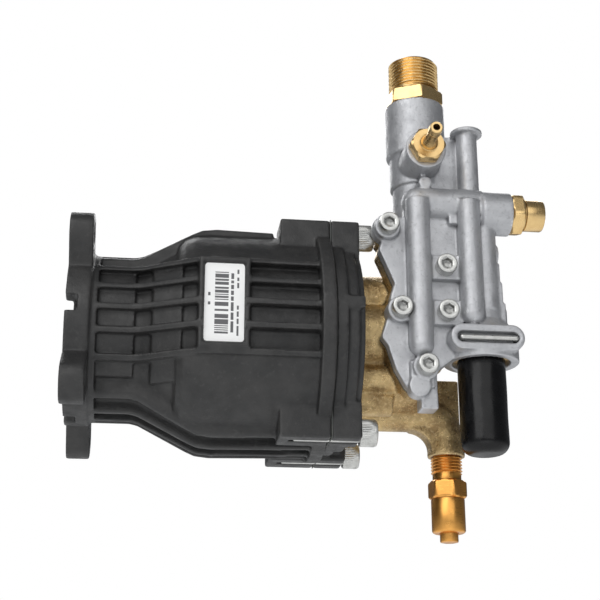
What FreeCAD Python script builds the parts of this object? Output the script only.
"""Horizontal axial-cam pressure washer pump: swash-plate gearcase, brass head, side-mounted
aluminium unloader manifold.

Millimetres. X is the drive axis: 0 on the engine mounting face, + towards the pump head.
Z is up (water outlet on top). Y points away from the manifold side.
The origin is the centre of the hollow shaft's bore, on the mounting face.
"""
import FreeCAD, Part
import math
import os

V = FreeCAD.Vector
X, Y, Z = V(1, 0, 0), V(0, 1, 0), V(0, 0, 1)

# ---- driving dimensions -------------------------------------------------------------------
# engine flange and shaft
FLANGE_T = 9.8            # flange plate thickness
BOLT_CIRCLE_R = 46.04     # 3-5/8 inch engine bolt circle
BOLT_HOLE_R = 4.15        # 5/16 inch studs
EAR_ANGLES = [38.0, 128.0, 218.0, 308.0]
EAR_HALF, EAR_TIP, EAR_CORNER = 8.6, 54.4, 7.6
VENT_HALF, VENT_DEPTH = 3.4, 4.9
RIM_R = 36.4              # flange rim between the ears
SHAFT_BORE_R = 9.56       # 19.05 mm engine shaft, running fit
SHAFT_R = 15.0
SHAFT_X0, SHAFT_X1 = 4.0, 58.0
KEY_W, KEY_H = 4.8, 2.4

# gearcase
NECK_R, NECK_FIN_R = 30.4, 35.0
DRUM_R, DRUM_FIN_R = 43.5, 48.4
WALL = 3.7
FLARE_X0, FLARE_X1 = 28.0, 54.0
CASE_X1 = 106.6           # joint face to the front cover
SIDE_FIN_Z = [22.6, 13.3, 3.8, -5.8, -16.2]
KEEL_FIN_Y = [-19.0, -9.0, 0.0, 9.0, 19.0]
FIN_T = 2.5
RIB_X0, RIB_R = 100.9, 49.3   # raised rib at the joint with the cover
LABEL_X, LABEL_Z = (54.4, 70.2), (-13.0, 19.7)

# front cover and its bolts
COVER_X1 = 119.0
CBOLT_Y, CBOLT_Z = 22.2, 42.2
CBOLT_HEAD_R, CBOLT_HEAD_H, CBOLT_R = 5.6, 7.0, 4.0
BOSS_X0 = 85.8
BOSS_HALF = (8.4, 4.2)    # boss half width (Y) and half height (Z) round each bolt
BOSS_INWARD = 6.6         # the boss block runs back down into the drum

# bearings and seal of the shaft
BEARING_X, BEARING_W, BEARING_R = 22.0, 13.0, 27.4
SEAL_X, SEAL_W = 11.5, 8.0

# swash plate and plungers
TILT = math.radians(11.0)
PLUNGER_PCR = 20.0
PLUNGER_R = 6.0
SWASH_X, SWASH_R = 49.0, 31.0
SWASH_FACE_X = 60.0       # where the inclined face crosses the axis
FOOT_X0 = 72.5            # plunger foot, just clear of the swash plate's sweep
PLUNGER_X1 = 127.5
PLUNGER_ANGLES = [0.0, 120.0, 240.0]
INLET_ANGLES = [60.0, 180.0, 300.0]

# brass head
HEAD_X0, HEAD_X1 = 119.4, 150.5
HEAD_R = 31.0
PAD_Y = -28.5             # sealing plane between head and manifold
ROLLS_X1 = 134.0
ROLLS = [(-10.0, 17.3, 11.6), (-14.5, 0.7, 13.8), (-10.0, -17.3, 11.6), (-18.2, -18.5, 5.6),
         (-13.5, -27.0, 6.0)]    # y, z, radius of the cast rolls round bores and galleries
SEAL_X0, SEAL_X1 = 121.5, 126.5   # plunger water seals
VALVE_X0 = 137.2          # seats of the six check valves
VALVE_R = 6.6
HEAD_BOLTS = [(23.0, 13.3), (23.0, -13.3), (0.0, 26.5), (0.0, 0.0)]

# manifold on the head's side
FLANGE_Y = -34.0
SCREWS = [(129.8, 42.4), (153.4, 25.2), (134.4, 6.2), (153.4, 5.5), (144.2, -17.6)]
SCREW_SEAT_Y, SCREW_HEAD_R, SCREW_HEAD_H, SCREW_R = -37.5, 4.25, 5.0, 2.5
OUT_X, OUT_Y = 146.7, -19.0
OUT_TOP = 106.2
OUT_R = (13.0, 11.6, 10.6)
OUT_STEP_Z = (82.0, 66.6)
M22_R, OUT_HEX_AF = 11.0, 22.6   # outlet thread's crest radius
UNL_Y, UNL_Z, UNL_BIG_R = -33.0, 51.6, 9.2
CROSS_Z, CROSS_R = 54.8, 6.9      # cross gallery that runs into the unloader barrel
UNL_STEP_X, UNL_X1 = 170.4, 182.8
TUBE_A, TUBE_B, TUBE_C = (142.6, -37.2, 5.0), (164.1, -38.2, 4.6), (166.0, -33.0, 4.5)
INJ_X, INJ_Z, INJ_R, INJ_Y = 145.9, 76.0, 8.6, -43.0
INLET_X, INLET_Y, INLET_BORE_R, INLET_BOSS_R = 169.8, -26.0, 11.9, 15.6
INLET_Z0, INLET_Z1 = -13.0, 8.0
SLOT_Z, SLOT_LEN, SLOT_H, SLOT_FACE_Y = -5.6, 25.6, 4.8, -41.8
CLIP_WIRE_R, CLIP_HALF = 1.2, 11.0
COLUMN_X1 = 176.4         # right-hand face of the casting between inlet and unloader

# lower elbow and thermal relief valve
THERMAL_X, THERMAL_Y = 159.6, -1.0


# ---- small helpers ------------------------------------------------------------------------
def cyl(axis, r, start, end, at=(0.0, 0.0)):
    """Cylinder along X, Y or Z from start to end; `at` holds the other two coordinates."""
    a, b = at
    base = {"X": V(start, a, b), "Y": V(a, start, b), "Z": V(a, b, start)}[axis]
    return Part.makeCylinder(r, end - start, base, {"X": X, "Y": Y, "Z": Z}[axis])


def ring(axis, r_out, r_in, start, end, at=(0.0, 0.0)):
    return cyl(axis, r_out, start, end, at).cut(cyl(axis, r_in, start - 1, end + 1, at))


def cone(axis, r0, r1, start, end, at=(0.0, 0.0)):
    a, b = at
    base = {"X": V(start, a, b), "Y": V(a, start, b), "Z": V(a, b, start)}[axis]
    return Part.makeCone(r0, r1, end - start, base, {"X": X, "Y": Y, "Z": Z}[axis])


def box(x0, x1, y0, y1, z0, z1):
    return Part.makeBox(x1 - x0, y1 - y0, z1 - z0, V(x0, y0, z0))


def ball(r, x, y, z):
    return Part.makeSphere(r, V(x, y, z))


def union(shapes):
    shapes = list(shapes)
    return shapes[0].multiFuse(shapes[1:]).removeSplitter() if len(shapes) > 1 else shapes[0]


def minus(shape, tools):
    return shape.cut(list(tools))


def polar(radius, degrees):
    a = math.radians(degrees)
    return radius * math.cos(a), radius * math.sin(a)


def revolve_x(points):
    """Solid of revolution about X from (x, r) points; the outline closes on the axis."""
    outline = [V(x, 0, r) for x, r in points]
    outline = [V(points[0][0], 0, 0)] + outline + [V(points[-1][0], 0, 0)]
    face = Part.Face(Part.makePolygon(outline + [outline[0]]))
    return face.revolve(V(0, 0, 0), X, 360)


def hexagon(axis, across_flats, start, end, at=(0.0, 0.0), turn=0.0):
    """Hexagonal bar along X, Y or Z with its corners chamfered at both ends."""
    corner = across_flats / math.sqrt(3)
    a, b = at
    ring_pts = []
    for i in range(7):
        p, q = polar(corner, turn + 60 * i)
        ring_pts.append({"X": V(start, a + p, b + q), "Y": V(a + p, start, b + q),
                         "Z": V(a + p, b + q, start)}[axis])
    direction = {"X": X, "Y": Y, "Z": Z}[axis] * (end - start)
    bar = Part.Face(Part.makePolygon(ring_pts)).extrude(direction)
    chamfer = corner - across_flats / 2
    keep = union([cone(axis, corner - chamfer, corner, start, start + chamfer * 0.6, at),
                  cyl(axis, corner, start + chamfer * 0.6, end - chamfer * 0.6, at),
                  cone(axis, corner, corner - chamfer, end - chamfer * 0.6, end, at)])
    return bar.common(keep)


def obround(axis_y0, axis_y1, x, z, length, height):
    """Flat-sided oval along Y, `length` wide in X and `height` tall in Z."""
    half = (length - height) / 2
    return union([box(x - half, x + half, axis_y0, axis_y1, z - height / 2, z + height / 2),
                  cyl("Y", height / 2, axis_y0, axis_y1, (x - half, z)),
                  cyl("Y", height / 2, axis_y0, axis_y1, (x + half, z))])


def grooves(axis, r, pitch, start, end, at=(0.0, 0.0)):
    """A thread's crests as a stack of V-profiled rings."""
    depth = pitch * 0.55
    count = int((end - start) / pitch)
    parts = []
    for i in range(count):
        s = start + i * pitch
        parts.append(cone(axis, r - depth, r, s, s + pitch / 2, at))
        parts.append(cone(axis, r, r - depth, s + pitch / 2, s + pitch, at))
    tail = start + count * pitch
    if end - tail > 0.05:
        parts.append(cyl(axis, r - depth, tail, end, at))
    return union(parts)


def coil(axis, r, wire_r, start, end, half_turns, at=(0.0, 0.0)):
    """Compression spring inside start..end, bent as tilted half circles that run into each other."""
    a, b = at
    rise = (end - start - 2 * wire_r) / half_turns
    bends = []
    for k in range(half_turns):
        side = 1 if k % 2 == 0 else -1
        disc = Part.Face(Part.Wire(Part.makeCircle(wire_r, V(side * r, 0, k * rise), Y)))
        bends.append(disc.revolve(V(0, 0, (k + 0.5) * rise), V(side * rise / 2, 0, r), 180))
    spring = bends[0].multiFuse(bends[1:])
    if axis == "X":
        spring.rotate(V(0, 0, 0), Y, 90)
        spring.translate(V(start + wire_r, a, b))
    elif axis == "Y":
        spring.rotate(V(0, 0, 0), X, -90)
        spring.translate(V(a, start + wire_r, b))
    else:
        spring.translate(V(a, b, start + wire_r))
    return spring


def torus(axis, r, wire_r, pos, at=(0.0, 0.0)):
    a, b = at
    centre = {"X": V(pos, a, b), "Y": V(a, pos, b), "Z": V(a, b, pos)}[axis]
    return Part.makeTorus(r, wire_r, centre, {"X": X, "Y": Y, "Z": Z}[axis])


def socket_screw(axis, head_r, head_h, shank_r, seat, head_end, tip, at, key_af):
    """Cap screw: head between seat and head_end, shank from the seat to the tip."""
    lo, hi = sorted((seat, head_end))
    s0, s1 = sorted((seat, tip))
    depth = head_h * 0.55
    k0, k1 = (hi - depth, hi + 1) if head_end > seat else (lo - 1, lo + depth)
    body = union([cyl(axis, head_r, lo, hi, at), cyl(axis, shank_r, s0, s1, at)])
    return body.cut(hexagon(axis, key_af, k0, k1, at, 30))


# ---- gearcase -----------------------------------------------------------------------------
def ear_blank(angle):
    """One bolt ear: a flat-ended lobe with rounded corners, running in to the hub."""
    lobe = box(0, FLANGE_T, -EAR_HALF, EAR_HALF, 0, EAR_TIP)
    corners = [e for e in lobe.Edges if abs(e.Length - FLANGE_T) < 0.01 and e.CenterOfMass.z > 10]
    lobe = lobe.makeFillet(EAR_CORNER, corners)
    lobe.rotate(V(0, 0, 0), X, angle - 90)
    return lobe


def flange_blank():
    """Engine flange: round rim with four bolt ears."""
    return union([cyl("X", RIM_R, 0, FLANGE_T)] + [ear_blank(a) for a in EAR_ANGLES])


def flange_cuts():
    cuts = [cyl("X", BOLT_HOLE_R, -1, FLANGE_T + 1, polar(BOLT_CIRCLE_R, a)) for a in EAR_ANGLES]
    for angle in EAR_ANGLES:                           # vent slots, midway between the ears
        slot = box(-1, VENT_DEPTH, -VENT_HALF, VENT_HALF, 28.5, 60)
        slot.rotate(V(0, 0, 0), X, angle - 45)
        cuts.append(slot)
    cuts.append(cyl("X", 28.8, -1, 3.0))               # register for the engine's boss
    return cuts


def envelope(neck_r, drum_r, x_end):
    """Solid of revolution: neck, straight flare with eased ends, drum."""
    rise = drum_r - neck_r
    return revolve_x([(1.0, neck_r), (FLARE_X0 - 1.5, neck_r), (FLARE_X0 + 2.0, neck_r + rise * 0.06),
                      (FLARE_X1 - 4.0, neck_r + rise * 0.82), (FLARE_X1, neck_r + rise * 0.95),
                      (FLARE_X1 + 6.0, drum_r), (x_end, drum_r - 0.9)])


def side_fins(hull):
    """Horizontal fins on both flanks, cut to the fin envelope, with raised pads between them."""
    plates = [box(1.0, 104.0, -60, 60, z - FIN_T / 2, z + FIN_T / 2) for z in SIDE_FIN_Z]
    inner = envelope(NECK_R + 1.7, DRUM_R + 1.7, 104.0)
    pads = [box(x0, x1, -60, 60, SIDE_FIN_Z[-1] - drop, SIDE_FIN_Z[0])
            for x0, x1, drop in ((11.0, 27.4, 6.0), (34.4, 46.0, 9.0))]
    return [p.common(hull) for p in plates] + [p.common(inner) for p in pads]


def keel_fins(hull):
    """Vertical fins below and above the case, cut to the fin envelope."""
    lower = [box(1.0, 102.0, y - FIN_T / 2, y + FIN_T / 2, -60, -18) for y in KEEL_FIN_Y]
    upper = [box(1.0, 84.0, y - FIN_T / 2, y + FIN_T / 2, 24, 60) for y in KEEL_FIN_Y]
    return [p.common(hull) for p in lower + upper]


def drum_bulges():
    """Smooth raised panels of the drum between the two sets of fins, with a rounded end."""
    skin = revolve_x([(43.5, 37.0), (44.4, 41.0), (47.0, 43.6), (51.0, 45.2), (58.0, 45.8),
                      (102.0, 45.8)])
    y_in, z_lo, z_hi = KEEL_FIN_Y[-1], SIDE_FIN_Z[-1], SIDE_FIN_Z[0]
    zones = [box(40, 110, s * y_in - (60 if s < 0 else 0), s * y_in + (60 if s > 0 else 0), z0, z1)
             for s in (-1, 1) for z0, z1 in ((-60, z_lo), (z_hi, 60))]
    return [skin.common(zone) for zone in zones]


def label_frame():
    """Raised frame and flat pad that carry the rating label, on the manifold side."""
    (x0, x1), (z0, z1) = LABEL_X, LABEL_Z
    frame = box(x0 - 2.2, x1 + 2.2, -46.6, -34, z0 - 2.2, z1 + 2.2)
    return frame, box(x0 - 0.4, x1 + 0.4, -60, -44.9, z0 - 0.4, z1 + 0.4)


def bolt_bosses(x0, x1):
    hy, hz = BOSS_HALF
    blocks = []
    for sy in (-1, 1):
        for sz in (-1, 1):
            y, z = sy * CBOLT_Y, sz * CBOLT_Z
            z_lo, z_hi = sorted((z + sz * hz, z - sz * (hz + BOSS_INWARD)))
            blocks.append(box(x0, x1, y - hy, y + hy, z_lo, z_hi))
    return blocks


def gearcase_housing():
    hull = envelope(NECK_FIN_R, DRUM_FIN_R, 104.0)
    shell = envelope(NECK_R, DRUM_R, CASE_X1)
    frame, recess = label_frame()
    body = union([flange_blank(), shell] + side_fins(hull) + keel_fins(hull) + [frame] + drum_bulges()
                 + bolt_bosses(BOSS_X0, CASE_X1)
                 + [cyl("X", RIB_R, RIB_X0, CASE_X1), ring("X", NECK_FIN_R, NECK_R - 1, 9, 12.5)])
    cavity = revolve_x([(34.9, 24.6), (38.0, 24.6), (47.0, 34.5), (FLARE_X1, DRUM_R - WALL),
                        (CASE_X1 + 1, DRUM_R - WALL)])
    bolt_holes = [cyl("X", CBOLT_R, 90, CASE_X1 + 1, (sy * CBOLT_Y, sz * CBOLT_Z))
                  for sy in (-1, 1) for sz in (-1, 1)]
    bores = [cyl("X", BEARING_R, 8.0, BEARING_X + BEARING_W), cyl("X", 24.6, -1, 60)]
    return minus(body, flange_cuts() + [cavity, recess] + bores + bolt_holes)


def label_plate():
    (x0, x1), (z0, z1) = LABEL_X, LABEL_Z
    plate = box(x0, x1, -45.3, -44.9, z0, z1)
    edges = [e for e in plate.Edges if abs(e.Length - 0.4) < 0.01]
    return plate.makeFillet(1.6, edges)


def front_cover():
    """Gearcase cover: stepped rings, four bolt lugs, plunger guides on the inside."""
    rings = [cyl("X", 46.0, CASE_X1 + 0.4, 111.6), cyl("X", 44.4, 111.6, 116.4),
             cyl("X", 42.6, 116.4, COVER_X1)]
    tab = [box(111.0, 118.6, -45.6, -30, 3.4, 8.4), box(111.0, 118.6, 30, 45.6, 3.4, 8.4)]
    guides = [cyl("X", 9.6, 97.0, 110.0, polar(PLUNGER_PCR, a)) for a in PLUNGER_ANGLES]
    spigot = cyl("X", DRUM_R - WALL - 0.3, 103.0, 110.0)
    body = union(rings + tab + guides + [spigot] + bolt_bosses(CASE_X1 + 0.4, COVER_X1))
    cuts = [cyl("X", 36.0, 100.0, 106.6).cut(union([cyl("X", 9.6, 99, 107, polar(PLUNGER_PCR, a))
                                                   for a in PLUNGER_ANGLES]))]
    for a in PLUNGER_ANGLES:
        at = polar(PLUNGER_PCR, a)
        cuts += [cyl("X", PLUNGER_R + 0.04, 90, 125, at), cyl("X", 9.0, 112.0, 120, at)]
    cuts += [cyl("X", CBOLT_R + 0.3, 100, 120, (sy * CBOLT_Y, sz * CBOLT_Z))
             for sy in (-1, 1) for sz in (-1, 1)]
    cuts += [cyl("X", 2.5, 108, 120, at) for at in HEAD_BOLTS]
    return minus(body, cuts)


def cover_gasket():
    """Flat gasket between gearcase and cover."""
    plate = cyl("X", 46.0, CASE_X1, CASE_X1 + 0.4)
    lugs = bolt_bosses(CASE_X1, CASE_X1 + 0.4)
    holes = [cyl("X", CBOLT_R + 0.3, 100, 110, (sy * CBOLT_Y, sz * CBOLT_Z))
             for sy in (-1, 1) for sz in (-1, 1)]
    return minus(union([plate] + lugs), [cyl("X", DRUM_R - WALL, 100, 110)] + holes)


def cover_bolts():
    bolts = []
    for sy in (-1, 1):
        for sz in (-1, 1):
            bolts.append(socket_screw("X", CBOLT_HEAD_R, CBOLT_HEAD_H, CBOLT_R - 0.02, COVER_X1,
                                      COVER_X1 + CBOLT_HEAD_H, 92.0,
                                      (sy * CBOLT_Y, sz * CBOLT_Z), 6.0))
    return Part.makeCompound(bolts)


# ---- shaft group --------------------------------------------------------------------------
def tilted(shape):
    """Turn a shape built square to X at the swash face into the inclined swash frame."""
    turned = shape.copy()
    turned.rotate(V(SWASH_FACE_X, 0, 0), Y, -math.degrees(TILT))
    return turned


def shaft_seal():
    return ring("X", BEARING_R, SHAFT_R + 0.02, SEAL_X, SEAL_X + SEAL_W)


def bearing_outer():
    body = ring("X", BEARING_R, 23.6, BEARING_X, BEARING_X + BEARING_W)
    return body.cut(torus("X", 21.2, 3.6, BEARING_X + BEARING_W / 2))


def bearing_inner():
    body = ring("X", 18.8, SHAFT_R, BEARING_X, BEARING_X + BEARING_W)
    return body.cut(torus("X", 21.2, 3.6, BEARING_X + BEARING_W / 2))


def ball_set(count, pitch_r, ball_r, x):
    return [ball(ball_r, x, *polar(pitch_r, 360.0 * i / count)) for i in range(count)]


def bearing_balls():
    cage = ring("X", 22.6, 19.8, BEARING_X + 5.3, BEARING_X + BEARING_W - 5.3)
    balls = ball_set(11, 21.2, 3.5, BEARING_X + BEARING_W / 2)
    return union([cage] + balls)


def drive_shaft():
    """Hollow keyed shaft with the swash disc; the disc's far face is inclined."""
    shaft = cyl("X", SHAFT_R, SHAFT_X0, SHAFT_X1)
    disc = cyl("X", SWASH_R, SWASH_X, 80.0)
    cutter = tilted(cyl("X", 70.0, SWASH_FACE_X, SWASH_FACE_X + 60))
    disc = disc.cut(cutter)
    hub = tilted(cyl("X", 10.8, SWASH_FACE_X - 4, SWASH_FACE_X + 8.2))
    body = union([shaft.cut(cutter), disc, cyl("X", SHAFT_R + 4.0, 35.05, 40.0), hub])
    bore = cyl("X", SHAFT_BORE_R, SHAFT_X0 - 1, 46.0)
    key = box(SHAFT_X0 - 1, 44.0, -KEY_W / 2, KEY_W / 2, 0, SHAFT_BORE_R + KEY_H)
    return minus(body, [bore, key])


def thrust_race(x0, x1, r_in=11.2):
    return tilted(ring("X", 30.0, r_in, SWASH_FACE_X + x0, SWASH_FACE_X + x1))


def rotor_race():
    return thrust_race(0.0, 1.8).cut(tilted(torus("X", 20.0, 2.6, SWASH_FACE_X + 3.7)))


def wobble_race():
    return thrust_race(5.6, 7.9).cut(tilted(torus("X", 20.0, 2.6, SWASH_FACE_X + 3.7)))


def thrust_balls():
    cage = ring("X", 27.0, 13.0, SWASH_FACE_X + 3.1, SWASH_FACE_X + 4.3)
    balls = ball_set(16, 20.0, 2.5, SWASH_FACE_X + 3.7)
    return tilted(union([cage] + balls))


# ---- plunger group ------------------------------------------------------------------------
def plunger(angle):
    at = polar(PLUNGER_PCR, angle)
    rod = cyl("X", PLUNGER_R, FOOT_X0 + 3.4, PLUNGER_X1, at)
    foot = union([cyl("X", 4.2, FOOT_X0 + 1.0, FOOT_X0 + 5.0, at), ball(4.2, FOOT_X0 + 4.2, *at)])
    tip = cone("X", PLUNGER_R, PLUNGER_R - 0.8, PLUNGER_X1, PLUNGER_X1 + 0.8, at)
    return union([rod, foot, tip])


def spring_retainer(angle):
    at = polar(PLUNGER_PCR, angle)
    cup = union([cyl("X", 10.4, FOOT_X0 + 5.6, FOOT_X0 + 7.4, at),
                 cyl("X", 7.4, FOOT_X0 + 7.4, FOOT_X0 + 10.0, at)])
    return cup.cut(cyl("X", PLUNGER_R, FOOT_X0, FOOT_X0 + 20, at))


def plunger_spring(angle):
    return coil("X", 8.8, 1.1, FOOT_X0 + 7.45, 96.95, 7, polar(PLUNGER_PCR, angle))


def plunger_oil_seals():
    rings = [ring("X", 9.0, PLUNGER_R + 0.04, 112.0, 117.0, polar(PLUNGER_PCR, a))
             for a in PLUNGER_ANGLES]
    return Part.makeCompound(rings)


def water_seals():
    rings = [ring("X", 9.4, PLUNGER_R + 0.03, SEAL_X0, SEAL_X1, polar(PLUNGER_PCR, a))
             for a in PLUNGER_ANGLES]
    return Part.makeCompound(rings)


def seal_spacers():
    rings = [ring("X", 9.4, PLUNGER_R + 0.25, HEAD_X0, SEAL_X0, polar(PLUNGER_PCR, a))
             for a in PLUNGER_ANGLES]
    return Part.makeCompound(rings)


# ---- brass head ---------------------------------------------------------------------------
def outline_face(points, y):
    """Flat face at height y through (x, z) points, with rounded corners."""
    wire = Part.makePolygon([V(x, y, z) for x, z in points + points[:1]])
    return Part.Face(wire)


JOINT_EDGE = [(128.2, 38.0), (126.6, 33.0), (128.8, 28.0), (132.8, 18.3), (131.0, 13.0),
              (130.6, 7.3), (126.8, -4.8), (129.3, -8.0), (132.4, -18.1), (136.3, -25.2),
              (139.0, -28.0), (144.4, -26.6), (148.6, -19.0), (158.0, -12.0), (165.6, -3.0),
              (166.0, 46.0), (130.0, 48.4), (126.0, 44.4)]


def joint_plate(y0, y1, inset=0.0):
    """Plate with the joint outline shared by head pad, gasket and manifold flange."""
    plate = outline_face(JOINT_EDGE, y0).extrude(Y * (y1 - y0))
    corners = [e for e in plate.Edges if abs(e.Length - (y1 - y0)) < 1e-3]
    plate = plate.makeFillet(1.1, corners)
    lugs = [cyl("Y", 6.0 - inset, y0, y1, SCREWS[0]), cyl("Y", 5.6 - inset, y0, y1, SCREWS[2])]
    return union([plate] + lugs)


def valve_at(angle):
    return polar(PLUNGER_PCR, angle)


def head_joint(y0, y1, inset):
    """The part of the joint outline that the head reaches, kept clear of the outlet tower."""
    reach = union([box(120.0, 163.0, -60, 0, -60, 36.0), box(120.0, 134.6, -60, 0, 30.0, 60)])
    return joint_plate(y0, y1, inset).common(reach)


def head_elbow():
    """Cast conduit and elbow down to the thermal valve boss."""
    run_z, bend, web_r = -29.6, 9.0, 8.2
    down = (THERMAL_X, THERMAL_Y)
    corner = Part.makeTorus(bend, 7.2, V(THERMAL_X - bend, THERMAL_Y, run_z - bend), Y)
    corner = corner.common(box(THERMAL_X - bend, 200, -60, 60, run_z - bend, 0))
    web_x, web_z = THERMAL_X - 7.2 - web_r, run_z - 6.6 - web_r
    web = box(web_x, THERMAL_X - 5.6, THERMAL_Y - 4.4, THERMAL_Y + 4.4, web_z, run_z - 5.4)
    web = web.cut(cyl("Y", web_r, -20, 20, (web_x, web_z)))
    solids = [cyl("X", 6.6, HEAD_X0, THERMAL_X - bend, (THERMAL_Y, run_z)), corner, web,
              cyl("Z", 7.2, -42.0, run_z - bend, down), cone("Z", 7.9, 7.2, -45.0, -41.0, down),
              cyl("Z", 7.9, -47.0, -45.0, down), box(149.0, 165.4, -4.2, 2.2, -38.0, -14.0)]
    bores = [cyl("Z", 5.8, -60, -33.0, down), cyl("X", 3.2, 132.0, THERMAL_X, (THERMAL_Y, run_z)),
             cyl("Z", 2.4, run_z, -8.0, (134.4, 0.0))]
    return solids, bores


def head_section(x0, x1):
    """The head beside the front cover: round at the back, cast rolls on the manifold side."""
    back = cyl("X", HEAD_R, x0, x1).common(box(100, 200, -8.0, 60, -60, 60))
    return union([back] + [cyl("X", r, x0, x1, (y, z)) for y, z, r in ROLLS])


def brass_head():
    valve_block = cyl("X", HEAD_R, ROLLS_X1 - 1.0, HEAD_X1).common(box(100, 200, PAD_Y, 60, -60, 60))
    base = cyl("X", 33.0, HEAD_X0, 125.0).common(box(100, 200, -8.0, 60, -60, 28.5))
    elbow, cuts = head_elbow()
    body = union([head_section(HEAD_X0, ROLLS_X1), valve_block, base,
                  head_joint(PAD_Y, -20.0, 0.4)] + elbow)
    for a in PLUNGER_ANGLES:
        at = valve_at(a)
        cuts += [cyl("X", PLUNGER_R + 0.6, 110, VALVE_X0, at), cyl("X", 9.4, 110, SEAL_X1, at)]
    cuts += [cyl("X", 3.6, 130.0, VALVE_X0, valve_at(a)) for a in INLET_ANGLES]
    cuts += [cyl("X", VALVE_R, VALVE_X0, HEAD_X1 + 1, valve_at(a))
             for a in PLUNGER_ANGLES + INLET_ANGLES]
    cuts += [cyl("Y", SCREW_R, -60, -22.6, s) for s in SCREWS]
    cuts += [cyl("Y", 3.5, -60, -14.0, (142.6, -4.0)), cyl("Y", 3.5, -60, -14.0, (147.0, 15.5))]
    cuts += [cyl("X", CBOLT_HEAD_R + 0.5, 110, COVER_X1 + CBOLT_HEAD_H + 0.5, (sy * CBOLT_Y, sz * CBOLT_Z))
             for sy in (-1, 1) for sz in (-1, 1)]
    cuts += [cyl("X", 2.5, 110, 200, at) for at in HEAD_BOLTS]
    return minus(body, cuts + [inlet_clearance()])


def inlet_clearance():
    """Room for the manifold's round inlet housing beside the head."""
    return cyl("Z", INLET_BOSS_R + 1.1, -60, 12.0, (INLET_X, INLET_Y))


def head_gasket():
    """Flat gasket between front cover and head."""
    plate = head_section(COVER_X1, HEAD_X0)
    holes = [cyl("X", 9.4, 110, 130, valve_at(a)) for a in PLUNGER_ANGLES]
    return minus(plate, holes + [cyl("X", 2.8, 110, 130, at) for at in HEAD_BOLTS])


def head_bolts():
    bolts = [socket_screw("X", 4.2, 5.0, 2.48, HEAD_X1, HEAD_X1 + 5.0, 109.0, at, 4.0)
             for at in HEAD_BOLTS]
    return Part.makeCompound(bolts)


def valve_seats():
    seats = [ring("X", VALVE_R, 3.0, VALVE_X0, VALVE_X0 + 2.6, valve_at(a))
             for a in PLUNGER_ANGLES + INLET_ANGLES]
    return Part.makeCompound(seats)


def valve_poppet(angle):
    at = valve_at(angle)
    x0 = VALVE_X0 + 2.6
    return union([cyl("X", 4.4, x0, x0 + 1.4, at), cyl("X", 1.6, x0 + 1.4, x0 + 4.6, at)])


def valve_springs():
    x0 = VALVE_X0 + 4.05
    return Part.makeCompound([coil("X", 2.9, 0.35, x0, x0 + 4.9, 5, valve_at(a))
                              for a in PLUNGER_ANGLES + INLET_ANGLES])


def valve_plugs():
    """Flush plugs with a hexagon socket, one over each check valve."""
    plugs = []
    for a in PLUNGER_ANGLES + INLET_ANGLES:
        at = valve_at(a)
        plug = cyl("X", VALVE_R - 0.02, VALVE_X0 + 9.0, HEAD_X1 - 0.2, at)
        guide = cyl("X", 2.0, VALVE_X0 + 8, VALVE_X0 + 10.4, at)
        plugs.append(minus(plug, [guide, hexagon("X", 6.0, HEAD_X1 - 2.2, HEAD_X1 + 1, at)]))
    return Part.makeCompound(plugs)


# ---- manifold -----------------------------------------------------------------------------
def manifold_gasket():
    plate = head_joint(PAD_Y - 0.5, PAD_Y, 0.4)
    holes = [cyl("Y", SCREW_R + 0.3, -40, 0, s) for s in SCREWS]
    return minus(plate, holes + [cyl("Y", 3.5, -40, 0, (142.6, -4.0)),
                                 cyl("Y", 3.5, -40, 0, (147.0, 15.5)), inlet_clearance()])


def outlet_tower():
    at = (OUT_X, OUT_Y)
    return [cyl("Z", OUT_R[0], OUT_STEP_Z[0], OUT_TOP, at),
            cone("Z", OUT_R[1], OUT_R[0], OUT_STEP_Z[0] - 0.9, OUT_STEP_Z[0], at),
            cyl("Z", OUT_R[1], OUT_STEP_Z[1], OUT_STEP_Z[0], at),
            cyl("Z", OUT_R[2], 51.0, OUT_STEP_Z[1], at),
            Part.makeSphere(OUT_R[2], V(OUT_X, OUT_Y, 51.0))]


def unloader_barrel():
    left = OUT_X - 10.0 + CROSS_R
    return [cyl("X", CROSS_R, left, UNL_STEP_X, (UNL_Y, CROSS_Z)), ball(CROSS_R, left, UNL_Y, CROSS_Z),
            cyl("X", UNL_BIG_R, UNL_STEP_X, UNL_X1, (UNL_Y, UNL_Z)),
            cone("X", UNL_BIG_R - 2.2, UNL_BIG_R, UNL_STEP_X - 2.0, UNL_STEP_X, (UNL_Y, UNL_Z))]


def gallery(tube, z0, z1, back_y):
    """Vertical gallery tube with a domed lower end and a web back to the flange."""
    x, y, r = tube
    return [cyl("Z", r, z0 + r, z1, (x, y)), Part.makeSphere(r, V(x, y, z0 + r)),
            box(x - r * 0.92, x + r * 0.92, y, back_y, z0 + r, z1)]


def inlet_housing():
    at = (INLET_X, INLET_Y)
    barrel = cyl("Z", INLET_BOSS_R, INLET_Z0, -2.0, at)
    shoulder = cone("Z", INLET_BOSS_R, 11.6, -2.0, 4.0, at)
    top = cyl("Z", 11.6, 4.0, INLET_Z1 + 2.0, at)
    face = obround(SLOT_FACE_Y, INLET_Y, INLET_X - 0.8, SLOT_Z, 30.6, 10.8)
    column = [box(168.0, COLUMN_X1, -34.0, -14.0, INLET_Z1, UNL_Z),
              cyl("X", 5.2, 172.0, COLUMN_X1 + 2.0, (-26.0, 35.0)),
              cyl("Z", 5.0, INLET_Z1, UNL_Z, (COLUMN_X1 - 4.9, -33.0))]
    ledges = [box(168.0, COLUMN_X1 + grow, -35.6, -13.6, z - 9.0, z)
              for z, grow in ((11.0, 2.4), (20.0, 1.5), (28.6, 0.7))]
    return [barrel, shoulder, top, face] + column + ledges


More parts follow.
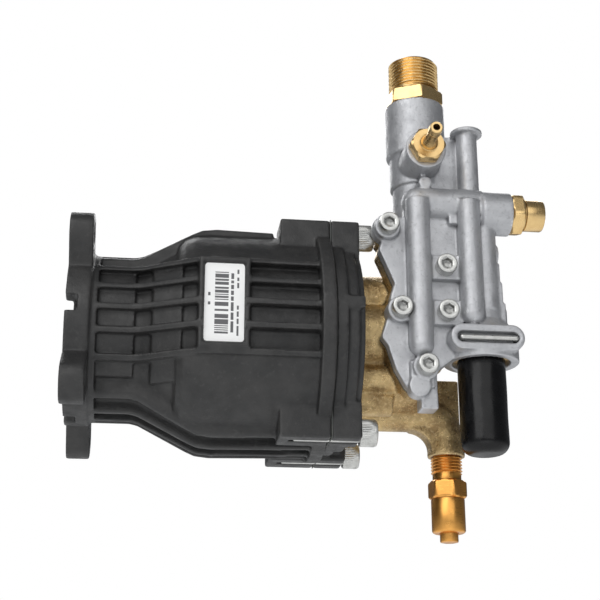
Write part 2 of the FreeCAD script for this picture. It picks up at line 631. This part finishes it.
def unloader_manifold():
    back = PAD_Y - 0.5
    flange = joint_plate(FLANGE_Y, back)
    bosses = [cyl("Y", 5.35, SCREW_SEAT_Y, back, s) for s in SCREWS]
    seats = [box(146.0, 160.0, SCREW_SEAT_Y, back, z - 5.4, z + 5.2) for z in (25.2, 5.5)]
    toe = [cyl("Y", 4.4, -36.6, back, (141.6, -25.4)),
           box(138.0, 147.6, -36.0, back, -26.0, -15.0), box(146.4, 149.4, -33.0, back, -33.0, -14.0),
           box(142.6, 149.6, -33.0, -24.0, -34.0, -27.6)]
    top_c = [cyl("Z", TUBE_C[2], UNL_Z, 88.6, TUBE_C[:2]), cyl("Z", 6.9, 87.6, 89.4, TUBE_C[:2]),
             box(150.0, TUBE_C[0], -29.0, -25.8, 60.0, 89.0)]
    injector = [cyl("Y", INJ_R, INJ_Y, OUT_Y, (INJ_X, INJ_Z)),
                cyl("Y", 2.8, -38.0, OUT_Y, (INJ_X + 0.4, 62.8)),
                box(INJ_X - 1.0, INJ_X + 1.2, -36.0, OUT_Y, 62.0, 70.0)]
    link = [box(137.5, 170.0, FLANGE_Y, back, 36.0, UNL_Z), box(156.0, 174.0, -37.0, -29.0, 45.0, 54.0),
            box(164.0, 170.0, FLANGE_Y, -24.0, -4.0, 48.0)]
    body = union([flange] + bosses + seats + toe + outlet_tower() + unloader_barrel() + top_c
                 + injector + link + gallery(TUBE_A, -13.6, CROSS_Z, FLANGE_Y + 1)
                 + gallery(TUBE_B, 0.2, CROSS_Z, FLANGE_Y + 1) + inlet_housing())
    return minus(body, manifold_bores())


def manifold_bores():
    at_out, at_in = (OUT_X, OUT_Y), (INLET_X, INLET_Y)
    cuts = [cyl("Z", 9.0, 90.8, OUT_TOP + 1, at_out), cyl("Z", 6.0, 60.0, 92.0, at_out),
            cyl("X", 4.4, 158.0, UNL_X1 - 5.0, (UNL_Y, UNL_Z)),
            cyl("X", 6.4, UNL_X1 - 7.6, UNL_X1 + 1, (UNL_Y, UNL_Z)),
            cyl("Z", 2.4, -8.0, CROSS_Z, TUBE_A[:2]), cyl("Z", 2.4, 6.0, UNL_Z - 2, TUBE_B[:2]),
            cyl("Y", 5.6, INJ_Y - 1, -33.0, (INJ_X, INJ_Z)), cyl("Y", 2.6, -34.0, OUT_Y, (INJ_X, INJ_Z)),
            cyl("Z", INLET_BORE_R, INLET_Z0 - 1, -1.6, at_in), cyl("Z", 8.0, -2.0, 6.0, at_in),
            cyl("Y", 3.5, -38.0, -20.0, (142.6, -4.0)), cyl("Y", 3.5, -33.0, -20.0, (147.0, 15.5)),
            obround(-60, SLOT_FACE_Y + 2 * CLIP_WIRE_R + 0.7, INLET_X - 0.6, SLOT_Z, SLOT_LEN, SLOT_H)]
    cuts += [cyl("Y", CLIP_WIRE_R + 0.15, -60, INLET_Y + 9.4, (INLET_X + s * CLIP_HALF, SLOT_Z))
             for s in (-1, 1)]
    cuts += [cyl("Y", SCREW_R + 0.3, -60, 0, s) for s in SCREWS]
    cuts += [cyl("Y", SCREW_HEAD_R + 0.35, -60, SCREW_SEAT_Y, s) for s in SCREWS]
    return cuts


def manifold_screws():
    screws = [socket_screw("Y", SCREW_HEAD_R, SCREW_HEAD_H, SCREW_R - 0.02, SCREW_SEAT_Y,
                           SCREW_SEAT_Y - SCREW_HEAD_H, -23.0, s, 4.0) for s in SCREWS]
    return Part.makeCompound(screws)


def outlet_fitting():
    at = (OUT_X, OUT_Y)
    hex_top = OUT_TOP + 7.2
    body = union([cyl("Z", 8.96, 92.0, OUT_TOP, at), hexagon("Z", OUT_HEX_AF, OUT_TOP, hex_top, at, 34),
                  cyl("Z", M22_R - 0.9, hex_top, hex_top + 1.0, at),
                  cyl("Z", M22_R, hex_top + 1.0, hex_top + 14.0, at),
                  cone("Z", M22_R, M22_R - 1.0, hex_top + 14.0, hex_top + 15.0, at)])
    return minus(body, [cyl("Z", 7.0, 104.0, 140, at), cyl("Z", 5.0, 80, 110, at)])


def outlet_seal():
    return torus("Z", 7.6, 0.58, 91.4, (OUT_X, OUT_Y))


def injector_body():
    at = (INJ_X, INJ_Z)
    stem_y = INJ_Y - 5.2
    body = union([cyl("Y", 5.55, INJ_Y, -35.0, at), hexagon("Y", 13.4, stem_y, INJ_Y, at, 0),
                  cone("Y", 2.4, 4.4, stem_y - 3.0, stem_y, at),
                  cyl("Y", 1.9, stem_y - 14.5, stem_y - 2.0, at),
                  cone("Y", 2.3, 2.75, stem_y - 14.5, stem_y - 10.6, at)])
    return minus(body, [cyl("Y", 1.2, -80, -34, at), cyl("Y", 2.9, -41.5, -34.0, at)])


def injector_ball():
    return ball(2.1, INJ_X, -39.75, INJ_Z)


def injector_spring():
    return coil("Y", 1.7, 0.25, -37.6, -34.05, 5, (INJ_X, INJ_Z))


def venturi_nozzle():
    at = (OUT_X, OUT_Y)
    body = cyl("Z", 5.98, 62.0, 74.0, at)
    return minus(body, [cone("Z", 4.2, 1.3, 61.9, 69.0, at), cone("Z", 1.3, 3.4, 69.0, 74.1, at)])


def unloader_piston():
    at = (UNL_Y, UNL_Z)
    return union([cyl("X", 4.33, 161.0, 165.0, at), cyl("X", 1.8, 165.0, 170.0, at),
                  cone("X", 1.4, 3.0, 159.0, 161.0, at)])


def unloader_spring():
    return coil("X", 3.2, 0.5, 165.1, 175.4, 7, (UNL_Y, UNL_Z))


def unloader_plug():
    """Brass end plug and locked adjusting cap of the unloader valve."""
    at = (UNL_Y, UNL_Z)
    hex_x = UNL_X1 + 5.4
    body = union([cyl("X", 6.36, UNL_X1 - 7.3, UNL_X1, at), hexagon("X", 16.4, UNL_X1, hex_x, at, 18),
                  cyl("X", 6.7, hex_x, hex_x + 9.2, at)])
    return body.cut(cyl("Y", 0.9, -60, UNL_Y, (UNL_X1 + 2.7, UNL_Z - 5.4)))


# ---- water inlet --------------------------------------------------------------------------
def inlet_fitting():
    """Quick-connect inlet spigot, grooved for the retaining clip."""
    at = (INLET_X, INLET_Y)
    body = union([cyl("Z", INLET_BORE_R - 0.05, -10.6, -1.9, at),
                  cyl("Z", 7.6, -1.9, 3.0, at),
                  cyl("Z", 7.6, -34.0, -10.6, at),
                  cyl("Z", 8.2, -30.0, -26.0, at), cone("Z", 6.4, 7.6, -37.0, -34.0, at)])
    cuts = [cyl("Z", 5.2, -60, 10, at),
            ring("Z", 14.0, CLIP_HALF - CLIP_WIRE_R - 0.05, SLOT_Z - 1.4, SLOT_Z + 1.4, at),
            ring("Z", 14.0, 10.15, -4.1, -2.1, at)]
    return minus(body, cuts)


def inlet_orings():
    return torus("Z", 11.0, 0.8, -3.1, (INLET_X, INLET_Y))


def inlet_screen():
    at = (INLET_X, INLET_Y)
    return cyl("Z", 5.16, -36.0, -16.0, at).cut(cyl("Z", 4.4, -37.0, -16.8, at))


def retaining_clip():
    """Bent wire U: cross bar in the front slot, legs through the spigot's groove."""
    y_bar = SLOT_FACE_Y + CLIP_WIRE_R + 0.5
    bar = cyl("X", CLIP_WIRE_R, INLET_X - CLIP_HALF, INLET_X + CLIP_HALF, (y_bar, SLOT_Z))
    parts = [bar]
    for sx in (-1, 1):
        x = INLET_X + sx * CLIP_HALF
        parts += [cyl("Y", CLIP_WIRE_R, y_bar, INLET_Y + 9.0, (x, SLOT_Z)),
                  ball(CLIP_WIRE_R, x, y_bar, SLOT_Z)]
    return union(parts)


def inlet_cap():
    """Soft push-on protective cap with a domed end."""
    at = (INLET_X, INLET_Y)
    r, z0, z1, ease = 9.9, -51.0, -11.4, 4.2
    profile = union([cyl("Z", r, z0 + ease, z1, at), cyl("Z", r - ease, z0, z0 + ease, at),
                     torus("Z", r - ease, ease, z0 + ease, at)])
    return profile.cut(cyl("Z", 8.22, -46.5, -9.0, at))


# ---- thermal relief valve -----------------------------------------------------------------
def thermal_valve():
    at = (THERMAL_X, THERMAL_Y)
    body = union([grooves("Z", 6.58, 1.337, -52.4, -47.0, at),
                  cyl("Z", 5.76, -47.0, -37.0, at),
                  cyl("Z", 6.3, -57.0, -52.4, at),
                  hexagon("Z", 14.2, -64.4, -57.0, at, 5),
                  cyl("Z", 7.0, -78.6, -64.4, at)])
    bore = [cyl("Z", 4.2, -76.4, -45.9, at), cyl("Z", 2.5, -46.0, -36.0, at),
            cyl("Z", 3.92, -80.0, -76.0, at)]
    return minus(body, bore)


def thermal_element():
    at = (THERMAL_X, THERMAL_Y)
    return union([cyl("Z", 3.85, -82.4, -73.0, at), cyl("Z", 4.1, -76.35, -74.0, at)])


def thermal_spring():
    return coil("Z", 3.2, 0.4, -72.9, -46.0, 13, (THERMAL_X, THERMAL_Y))


# ---- write every node ---------------------------------------------------------------------
def nodes():
    out = {
        "gearcase_housing": gearcase_housing, "front_cover": front_cover,
        "cover_gasket": cover_gasket, "cover_bolts": cover_bolts, "label_plate": label_plate,
        "shaft_seal": shaft_seal, "bearing_outer": bearing_outer, "bearing_inner": bearing_inner,
        "bearing_balls": bearing_balls, "drive_shaft": drive_shaft, "rotor_race": rotor_race,
        "wobble_race": wobble_race, "thrust_balls": thrust_balls,
        "plunger_oil_seals": plunger_oil_seals, "water_seals": water_seals,
        "seal_spacers": seal_spacers, "brass_head": brass_head, "head_gasket": head_gasket,
        "head_bolts": head_bolts,
        "valve_seats": valve_seats, "valve_springs": valve_springs, "valve_plugs": valve_plugs,
        "manifold_gasket": manifold_gasket, "unloader_manifold": unloader_manifold,
        "manifold_screws": manifold_screws, "outlet_fitting": outlet_fitting,
        "outlet_seal": outlet_seal, "injector_body": injector_body,
        "injector_ball": injector_ball, "injector_spring": injector_spring,
        "venturi_nozzle": venturi_nozzle, "unloader_piston": unloader_piston,
        "unloader_spring": unloader_spring, "unloader_plug": unloader_plug,
        "inlet_fitting": inlet_fitting, "inlet_orings": inlet_orings,
        "inlet_screen": inlet_screen, "retaining_clip": retaining_clip, "inlet_cap": inlet_cap,
        "thermal_valve": thermal_valve, "thermal_element": thermal_element,
        "thermal_spring": thermal_spring,
    }
    for i, angle in enumerate(PLUNGER_ANGLES, 1):
        out["plunger_%d" % i] = lambda a=angle: plunger(a)
        out["spring_retainer_%d" % i] = lambda a=angle: spring_retainer(a)
        out["plunger_spring_%d" % i] = lambda a=angle: plunger_spring(a)
        out["outlet_valve_%d" % i] = lambda a=angle: valve_poppet(a)
    for i, angle in enumerate(INLET_ANGLES, 1):
        out["inlet_valve_%d" % i] = lambda a=angle: valve_poppet(a)
    return out


os.makedirs("parts", exist_ok=True)
for name, make in nodes().items():
    shape = make()
    shape.exportStep("parts/%s.step" % name)
    b = shape.BoundBox
    print("%-20s solids %d valid %s vol %9.1f  x %.1f..%.1f y %.1f..%.1f z %.1f..%.1f" % (
        name, len(shape.Solids), shape.isValid(), shape.Volume, b.XMin, b.XMax, b.YMin, b.YMax,
        b.ZMin, b.ZMax))
